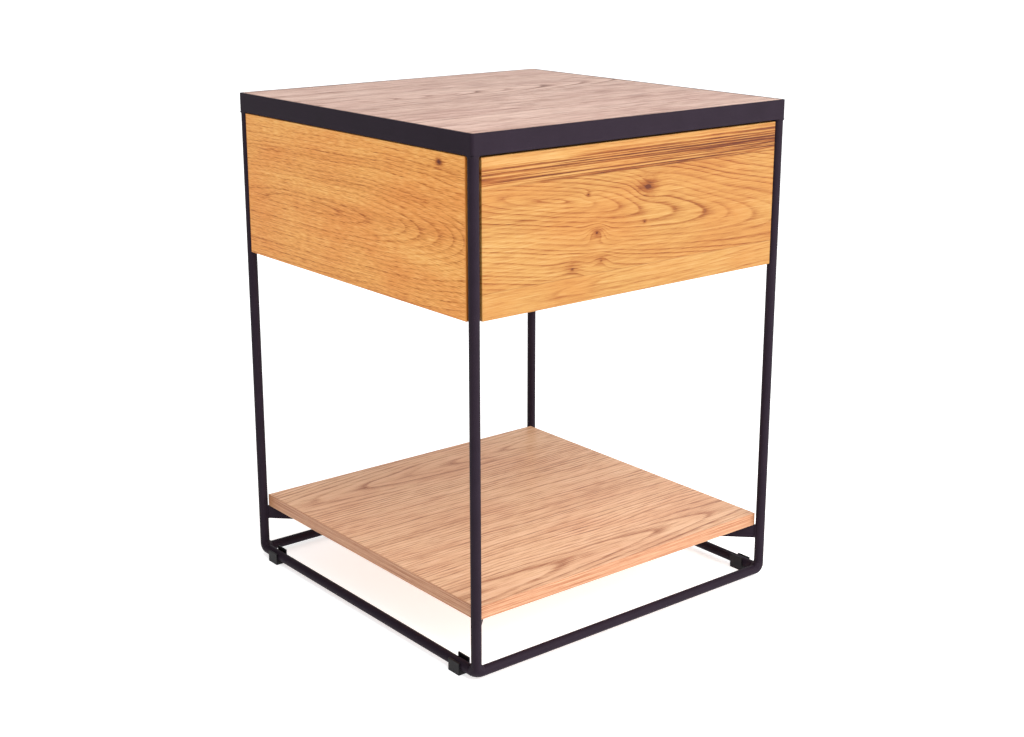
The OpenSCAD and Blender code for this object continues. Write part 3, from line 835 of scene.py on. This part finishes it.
# %% Brackets with their weld beads
def turned_to(points, x, y):
    """From (along the diagonal, across it, up), measured from the leg's axis, to the corner (x, y)."""
    along, across, up = points.T
    return np.stack([x * (axis_at - (along - across) / sqrt(2)),
                     y * (axis_at - (along + across) / sqrt(2)), up], -1)


BEAD_R, BEAD_OUT, BEAD_ABOVE, BEAD_BELOW = 1.3 * MM, 0.3 * MM, 0.5 * MM, 0.8 * MM


def bead(along, across, low, high):
    """Radius = BEAD_R * (0.8 + 0.2 |sin|) along the seam, times a curve that falls to a tenth at both
    ends, sqrt(1 - (2t - 1)^10)."""
    steps, around = 40, 14
    t = np.linspace(0, 1, steps)
    pools = 0.8 + 0.2 * np.abs(np.sin(9 * pi * t))
    radius = BEAD_R * pools * np.sqrt(np.clip(1 - (2 * t - 1) ** 10, 0.01, 1))
    turn = np.linspace(0, 2 * pi, around, endpoint=False)
    rings = np.stack([along + radius[:, None] * np.cos(turn), across + radius[:, None] * np.sin(turn),
                      np.broadcast_to((low + (high - low) * t)[:, None], (steps, around))], -1)
    return skin(rings)


FLAT_T, FLAT_END, FLAT_EDGE = 4.0 * MM, 64.0 * MM, 0.4 * MM
TAB_L, TAB_W, TAB_T = 22.0 * MM, 18.0 * MM, 3.0 * MM


def bracket(x, y):
    """An upright flat bar from inside the leg to its tab, and a bead on each side of the bar."""
    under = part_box("shelf_board")[0].z
    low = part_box("bracket_front_left")[0].z
    half = FLAT_T / 2
    flat = milled(rectangle(-half, low, half, under), 0, bar_r * 0.7, FLAT_END, FLAT_EDGE)
    tab = milled(rectangle(FLAT_END - TAB_L, -half, FLAT_END, half + TAB_W), 2, under - TAB_T, under,
                 FLAT_EDGE)
    seam = sqrt(bar_r ** 2 - half ** 2)
    beads = [bead(seam + BEAD_OUT, side * (half + BEAD_OUT), low + BEAD_ABOVE, under - BEAD_BELOW)
             for side in (-1, 1)]
    # On two of the corners the turn is also a mirror, so those faces are read backwards
    way = -1 if x * y > 0 else 1
    return [Shape(turned_to(shape.points, x, y), shape.quads[:, ::way], shape.ends[:, ::way])
            for shape in (flat, tab, *beads)]


for x, y in CORNERS:
    name = corner_name(x, y)
    make_piece(f"shelf_bracket_{name}", bracket(x, y), "frame", steel_black, [f"bracket_{name}"])

# %% [markdown]
# A glide is a plastic U that is pushed over the rail from below and grips it.
# Its end view is a plain outline with a round seat, so carrying that outline
# along the rail makes the whole clip, with the outer arm a little shorter.

# %% Glides that clip on the side rails
GLIDE_WALL, GLIDE_EDGE, SEAT_GAP, ARM_ABOVE = 2.0 * MM, 0.45 * MM, 0.05 * MM, 2.0 * MM


def glide(x, y):
    """A U round the rail: its outline has a half round seat for the bar, and is carried along the rail."""
    low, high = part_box("glide_front_left")
    seat, side = bar_r + SEAT_GAP, bar_r + GLIDE_WALL
    short, tall = axis_z + 0.85 * bar_r, axis_z + bar_r + ARM_ABOVE
    turn = np.linspace(0, -pi, 17)
    round_seat = np.stack([seat * np.cos(turn), axis_z + seat * np.sin(turn)], -1)
    outline = np.concatenate([[(-side, 0), (side, 0), (side, tall), (seat, tall)], round_seat,
                              [(-seat, short), (-side, short)]])
    clip = milled(outline + [-axis_at, 0], 1, low.y, high.y, GLIDE_EDGE)
    return clip._replace(points=clip.points * [-x, -y, 1])


for x, y in CORNERS:
    name = corner_name(x, y)
    make_piece(f"clip_glide_{name}", [glide(x, y)], "frame", plastic_black, [f"glide_{name}"])

# %% [markdown]
# ## Boards of the table
#
# The top and the shelf are plain boards with lightly eased edges. A panel of
# the case has one more thing: its upper outer edge is cut back, which leaves a
# dark shadow line under the rim. That is an outline with two more corners.

# %% Top, shelf and case panels
def whole_board(name, node, finish, axis, cut, body="frame"):
    """A plain board in the box of one node of the part."""
    low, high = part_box(node)
    return make_piece(name, [plank(low, high, axis, cut)], body, finish, [node])


whole_board("oak_top", "top_board", top_oak, 0, 0.5 * MM)
whole_board("oak_shelf", "shelf_board", shelf_oak, 0, 0.6 * MM)

# Height and depth of the cut behind the shadow line, and the radius of a panel's edges
SHADOW_H, SHADOW_D, PANEL_EDGE = 1.2 * MM, 3.0 * MM, 0.5 * MM


def panel(node, through, outward):
    """An upright board whose upper outer edge is cut back, carried along its length."""
    low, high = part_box(node)
    along = 1 - through
    out_at, in_at = (high[through], low[through]) if outward > 0 else (low[through], high[through])
    cut_at = out_at - outward * SHADOW_D
    outline = [(in_at, low.z), (out_at, low.z), (out_at, high.z - SHADOW_H), (cut_at, high.z - SHADOW_H),
               (cut_at, high.z), (in_at, high.z)]
    return milled(outline, along, low[along], high[along], PANEL_EDGE)


for side, outward, finish in (("left", -1, panel_oak), ("right", 1, right_oak)):
    make_piece(f"oak_side_{side}", [panel(f"side_panel_{side}", 0, outward)], "frame", finish,
               [f"side_panel_{side}"])
make_piece("oak_back", [panel("back_panel", 1, 1)], "frame", back_oak, ["back_panel"])

# %% [markdown]
# Behind the drawer two corner blocks and a flat stretcher hold the case
# together. They and the drawer box are birch plywood.

# %% Blocks and stretcher
block_low, block_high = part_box("corner_block_left")
stretcher_low, stretcher_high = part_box("case_stretcher")
block_ply = birch_ply("block_birch", 0, -block_high.x)
stretcher_ply = birch_ply("stretcher_birch", 2, stretcher_low.z)
for side in ("left", "right"):
    whole_board(f"birch_block_{side}", f"corner_block_{side}", block_ply, 2, 0.5 * MM)
whole_board("birch_stretcher", "case_stretcher", stretcher_ply, 0, 0.8 * MM)

# %% [markdown]
# ## The drawer
#
# The front is a thick solid board with softly eased edges. The box behind it
# has a groove all round, a little above its lower edge, and the thin bottom
# slides in it. A groove along a board is again only an outline: a rectangle
# with a notch.

# %% Drawer front and box
whole_board("oak_drawer_front", "drawer_front", front_oak, 0, 0.9 * MM, body="drawer")

bottom_low, bottom_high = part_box("box_bottom")
GROOVE_SLACK, GROOVE_D, BOX_EDGE = 0.1 * MM, 6.1 * MM, 0.7 * MM


def grooved(node, through, inward):
    """An upright board with a notch for the bottom panel, carried along its length."""
    low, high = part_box(node)
    along = 1 - through
    in_at, out_at = (high[through], low[through]) if inward > 0 else (low[through], high[through])
    notch = in_at - inward * GROOVE_D
    z0, z1 = bottom_low.z - GROOVE_SLACK, bottom_high.z + GROOVE_SLACK
    outline = [(out_at, low.z), (in_at, low.z), (in_at, z0), (notch, z0), (notch, z1), (in_at, z1),
               (in_at, high.z), (out_at, high.z)]
    return milled(outline, along, low[along], high[along], BOX_EDGE)


side_low, side_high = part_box("box_side_right")
side_ply = birch_ply("side_birch", 0, side_low.x)
front_ply = birch_ply("front_birch", 1, -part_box("box_front")[1].y)
back_ply = birch_ply("back_birch", 1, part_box("box_back")[0].y)
bottom_ply = birch_ply("bottom_birch", 2, bottom_low.z)
for name, through, inward, ply in (("side_left", 0, 1, side_ply), ("side_right", 0, -1, side_ply),
                                   ("front", 1, 1, front_ply), ("back", 1, -1, back_ply)):
    make_piece(f"birch_box_{name}", [grooved(f"box_{name}", through, inward)], "drawer", ply,
               [f"box_{name}"])
whole_board("birch_box_bottom", "box_bottom", bottom_ply, 0, 0.3 * MM, body="drawer")

# %% [markdown]
# ## Runners and screws
#
# A runner is three channels of bent sheet that slide in each other on balls.
# Bent sheet has a round outside and a tighter inside at each fold, which the
# eased outline gives. The balls and their cages keep the part's own shape and
# only need the finish.

# %% Runner channels
def channel_outline(u0, u1, half, sheet, lip=0.0):
    """A C of sheet metal: web at u0, flanges to u1, and lips of the given height turned in at their ends."""
    d = sheet if u1 > u0 else -sheet
    if not lip:
        return [(u0, -half), (u1, -half), (u1, -half + sheet), (u0 + d, -half + sheet),
                (u0 + d, half - sheet), (u1, half - sheet), (u1, half), (u0, half)]
    return [(u0, -half), (u1, -half), (u1, -half + lip), (u1 - d, -half + lip), (u1 - d, -half + sheet),
            (u0 + d, -half + sheet), (u0 + d, half - sheet), (u1 - d, half - sheet), (u1 - d, half - lip),
            (u1, half - lip), (u1, half), (u0, half)]


SHEET, LIP, SHEET_EDGE = 1.2 * MM, 3.0 * MM, 0.35 * MM
MEMBERS = ("case", "frame", LIP), ("mid", None, 0.0), ("drawer", "drawer", 0.0)
for side, s in (("left", 1), ("right", -1)):
    for member, body, lip in MEMBERS:
        low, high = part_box(f"{member}_runner_{side}")
        web_first = member != "drawer"
        u0, u1 = (low.x, high.x) if (s > 0) == web_first else (high.x, low.x)
        mid_z, half = (low.z + high.z) / 2, (high.z - low.z) / 2
        outline = np.array(channel_outline(u0, u1, half, SHEET, lip)) + [0, mid_z]
        make_piece(f"runner_{member}_{side}", [milled(outline, 1, low.y, high.y, SHEET_EDGE)],
                   body or f"runner_{side}", runner_zinc, [f"{member}_runner_{side}"])

# %% [markdown]
# A screw is a profile turned round its axis, and a cross pressed into its head.
# The cross is a function too: in the head's rings the surface sinks where the
# distance to the nearer of two lines through the middle is small, and the sink
# fades out towards the rim.

# %% One screw
HEAD, SHANK, PAN, RUNNER_PAN = 7.0 * MM, 3.5 * MM, 2.2 * MM, 0.6 * MM
CROSS_REACH, CROSS_HALF, CROSS_DEEP = 0.36 * HEAD, 0.11 * HEAD, 0.22 * HEAD
PITCH, TIP_R, ROUNDED = 1.3 * MM, 0.3 * MM, 0.1 * MM


def pressed_face(head_h, turn):
    """Rings over the head's face. The cross: sink = CROSS_DEEP * (1 - r / CROSS_REACH)^0.4 where the
    smaller of |x| and |y| is below CROSS_HALF. A pan head falls by a quarter of its height to its rim."""
    radius = np.concatenate([np.linspace(0.02, 0.36, 9), np.linspace(0.39, 0.49, 4)])[:, None] * HEAD
    x, y = radius * np.cos(turn), radius * np.sin(turn)
    arm = np.clip((CROSS_HALF - np.minimum(np.abs(x), np.abs(y))) / (0.4 * CROSS_HALF), 0, 1)
    sink = CROSS_DEEP * np.clip(1 - radius / CROSS_REACH, 0, 1) ** 0.4 * arm
    crown = 0.25 * head_h * (2 * radius / HEAD) ** 2
    return np.stack([x, y, head_h - crown - np.minimum(sink, 0.8 * (head_h or HEAD))], -1)


def screw(length, head_h):
    """A turned profile along -Z under the face. With head_h = 0 the head is a cone sunk below z = 0, else
    a pan on top of it. Shank = SHANK / 2 * (1 + 0.06 sin) for the thread, times 1 - t^12 at the tip."""
    turn = np.linspace(0, 2 * pi, 48, endpoint=False)
    if head_h:
        neck = 0.0
        rim = [(HEAD / 2, 0.75 * head_h - ROUNDED), (HEAD / 2, 0.0), (SHANK / 2, 0.0)]
    else:
        neck = (HEAD - SHANK) / 2
        rim = [(HEAD / 2, 0.0), (SHANK / 2, -neck)]
    rim_r, rim_z = np.array(rim).T
    t = np.arange(0.02, 1, 0.02)
    swell = 1 + 0.06 * np.sin(t * length / PITCH * 2 * pi)
    radius = np.concatenate([rim_r, SHANK / 2 * swell * (1 - t ** 12), [TIP_R]])[:, None]
    height = np.concatenate([rim_z, -neck - t * (length - neck), [-length]])[:, None]
    body = np.stack([radius * np.cos(turn), radius * np.sin(turn), height + 0 * turn], -1)
    return skin(np.concatenate([pressed_face(head_h, turn), body]))


print(f"a screw has {len(screw(20 * MM, 0).points)} points")

# %% [markdown]
# Screws come in groups that share a length and a head, so each group is one
# piece. Every screw is made once with its head up and then turned to face the
# way it was driven from.

# %% A screw at every place
def aimed(shape, place, direction):
    """Turns a shape made with its head up so that the head faces `direction`, then moves it to `place`."""
    turn = np.array(Vector(direction).to_track_quat("Z", "Y").to_matrix())
    return shape._replace(points=shape.points @ turn.T + np.array(place))


def screws(node, body, places, direction_of, length, head_h=0.0):
    """One piece with a screw at every place, in the node's stead."""
    shapes = [aimed(screw(length, head_h), place, direction_of(place)) for place in places]
    return make_piece(f"zinc_{node}", shapes, body, screw_zinc, [node])


def up(place):
    """A head that is seen from above."""
    return 0, 0, 1


def down(place):
    """A head that is seen from below."""
    return 0, 0, -1


def backward(place):
    """A head that is seen from inside the drawer."""
    return 0, 1, 0


def inward(place):
    """A head that faces the table's middle."""
    return -np.sign(place[0]), 0, 0


def sideways(place):
    """A head that faces the nearer side of the table."""
    return np.sign(place[0]), 0, 0


# Distance from the middle to the outer screws of a row, under the top and in the panels' upper edges
TOP_ROW, PANEL_ROW = 143.0 * MM, 173.0 * MM
low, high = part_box("top_screws")
far = high.x - HEAD / 2
places = [(x * a, y * b, low.z) for a, b in ((TOP_ROW, far), (far, TOP_ROW))
          for x in (-1, 1) for y in (-1, 1)]
screws("top_screws", "frame", places, down, high.z - low.z)

low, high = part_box("shelf_screws")
at = high.x - HEAD / 2
places = [(x * at, y * at, low.z + PAN) for x, y in CORNERS]
screws("shelf_screws", "frame", places, down, high.z - low.z - PAN, PAN)

low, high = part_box("panel_screws")
far, row = high.x - HEAD / 2, (-PANEL_ROW, 0, PANEL_ROW)
places = [(x * far, y, high.z) for x in (-1, 1) for y in row] + [(x, far, high.z) for x in row]
screws("panel_screws", "frame", places, up, high.z - low.z)

low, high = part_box("front_screws")
places = [(x, high.y - PAN, z) for x in (low.x + HEAD / 2, high.x - HEAD / 2)
          for z in (low.z + HEAD / 2, high.z - HEAD / 2)]
screws("front_screws", "drawer", places, backward, high.y - low.y - PAN, PAN)

RUNNER_ROW, RUNNER_SCREW = (0.12, 0.5, 0.88), 9.0 * MM
low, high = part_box("case_runner_right")
row_z = (low.z + high.z) / 2
case_face, drawer_face = high.x - SHEET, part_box("drawer_runner_right")[0].x + SHEET
for node, body, face, direction_of in (("case_runner_screws", "frame", case_face, inward),
                                       ("drawer_runner_screws", "drawer", drawer_face, sideways)):
    places = [(x * face, low.y + share * (high.y - low.y), row_z) for x in (-1, 1) for share in RUNNER_ROW]
    screws(node, body, places, direction_of, RUNNER_SCREW, RUNNER_PAN)

# %% The part's own balls and cages get their finish
for node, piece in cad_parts.items():
    if not piece.hide_render:
        piece.data.materials.clear()
        piece.data.materials.append(runner_zinc)
        print("kept from the part:", node)

# %% [markdown]
# ## Floor, light and camera
#
# The table stands in a white studio: a pale floor that runs out of view, a
# white sky that is brightest at the front right, a broad soft light from the
# same side that makes the drawer side brighter than the left side, and a
# smaller one above the front left. The floor is lit a little past white, so
# only the softest shadow is left on it. The camera stands a good way off with
# a long lens and looks down at the table's front left corner.

# %% Floor and light
scene = bpy.context.scene
scene.view_settings.view_transform = "Standard"
FLOOR_GLOW, FLOOR_R = 0.62, 24.0


def floor_finish():
    """Almost white, with the faintest mottling, and lit a little from inside like a light table."""
    floor = Finish("studio_floor")
    cloud = floor.noise(floor.place() * (0.002, 0.002, 0.002), 2.0)
    colour = floor.blend(cloud, tone(224, 224, 225), tone(228, 228, 228))
    return floor.done(colour, 0.6, Specular_IOR_Level=0.1, Emission_Color=(1.0, 1.0, 1.0, 1.0),
                      Emission_Strength=FLOOR_GLOW)


turn = np.linspace(0, 2 * pi, 96, endpoint=False)
floor_points = np.stack([FLOOR_R * np.cos(turn), FLOOR_R * np.sin(turn), 0 * turn], -1)
floor_mesh = bpy.data.meshes.new("floor")
floor_mesh.from_pydata(floor_points, [], [list(range(len(turn)))])
floor_mesh.materials.append(floor_finish())
floor = bpy.data.objects.new("floor", floor_mesh)
scene.collection.objects.link(floor)
floor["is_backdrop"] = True
print(f"floor of {2 * FLOOR_R:.0f} m across")

# %% Sky and lights
def studio_sky(even, extra, bright_side):
    """An even white sky that is brighter by `extra` towards one side, by a smooth step of the cosine."""
    world = bpy.data.worlds.new("studio")
    world.use_nodes = True
    tree = world.node_tree
    towards = tree.nodes.new("ShaderNodeVectorMath")
    towards.operation = "DOT_PRODUCT"
    towards.inputs[1].default_value = Vector(bright_side).normalized()
    strength = tree.nodes.new("ShaderNodeMapRange")
    strength.interpolation_type = "SMOOTHSTEP"
    for key, value in (("From Min", -1.0), ("From Max", 1.0), ("To Min", even), ("To Max", even + extra)):
        strength.inputs[key].default_value = value
    direction = tree.nodes.new("ShaderNodeTexCoord")
    tree.links.new(direction.outputs["Generated"], towards.inputs[0])
    tree.links.new(towards.outputs["Value"], strength.inputs["Value"])
    tree.links.new(strength.outputs["Result"], tree.nodes["Background"].inputs["Strength"])
    tree.nodes["Background"].inputs["Color"].default_value = (1.0, 1.0, 1.0, 1.0)
    return world


scene.world = studio_sky(0.42, 1.05, (0.75, -0.65, -0.2))


def soft_light(name, place, target, size, watts):
    """A square panel of light at `place` that faces `target`."""
    lamp = bpy.data.lights.new(name, "AREA")
    lamp.size, lamp.energy = size, watts
    light = bpy.data.objects.new(name, lamp)
    light.location = place
    light.rotation_euler = (Vector(target) - Vector(place)).to_track_quat("-Z", "Y").to_euler()
    scene.collection.objects.link(light)
    print(f"{name}: {size} m wide, {watts} W")


centre = (cad_low + cad_high) / 2
soft_light("key_light", (1.6, -3.6, 1.9), centre, 3.0, 130.0)
soft_light("top_light", (-0.5, -1.4, 2.0), centre, 1.2, 27.0)

# %% Camera
CAMERA_PLACE = (-1.1942, -1.4848, 0.8306)
LOOKS_DOWN, LOOKS_RIGHT = 15.257, 38.972
camera_data = bpy.data.cameras.new("camera")
camera_data.sensor_width = 36.0
camera_data.lens = 55.25
camera_data.shift_y = -0.0327
camera = bpy.data.objects.new("camera", camera_data)
camera.location = CAMERA_PLACE
camera.rotation_euler = (radians(90 - LOOKS_DOWN), 0.0, radians(-LOOKS_RIGHT))
scene.collection.objects.link(camera)
scene.camera = camera
print(f"camera {Vector(CAMERA_PLACE).length:.2f} m away, {LOOKS_DOWN:.0f} degrees down")

# %% Print the drawn box and finish
low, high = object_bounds()
print("drawn box in metres:", tuple(low), tuple(high))
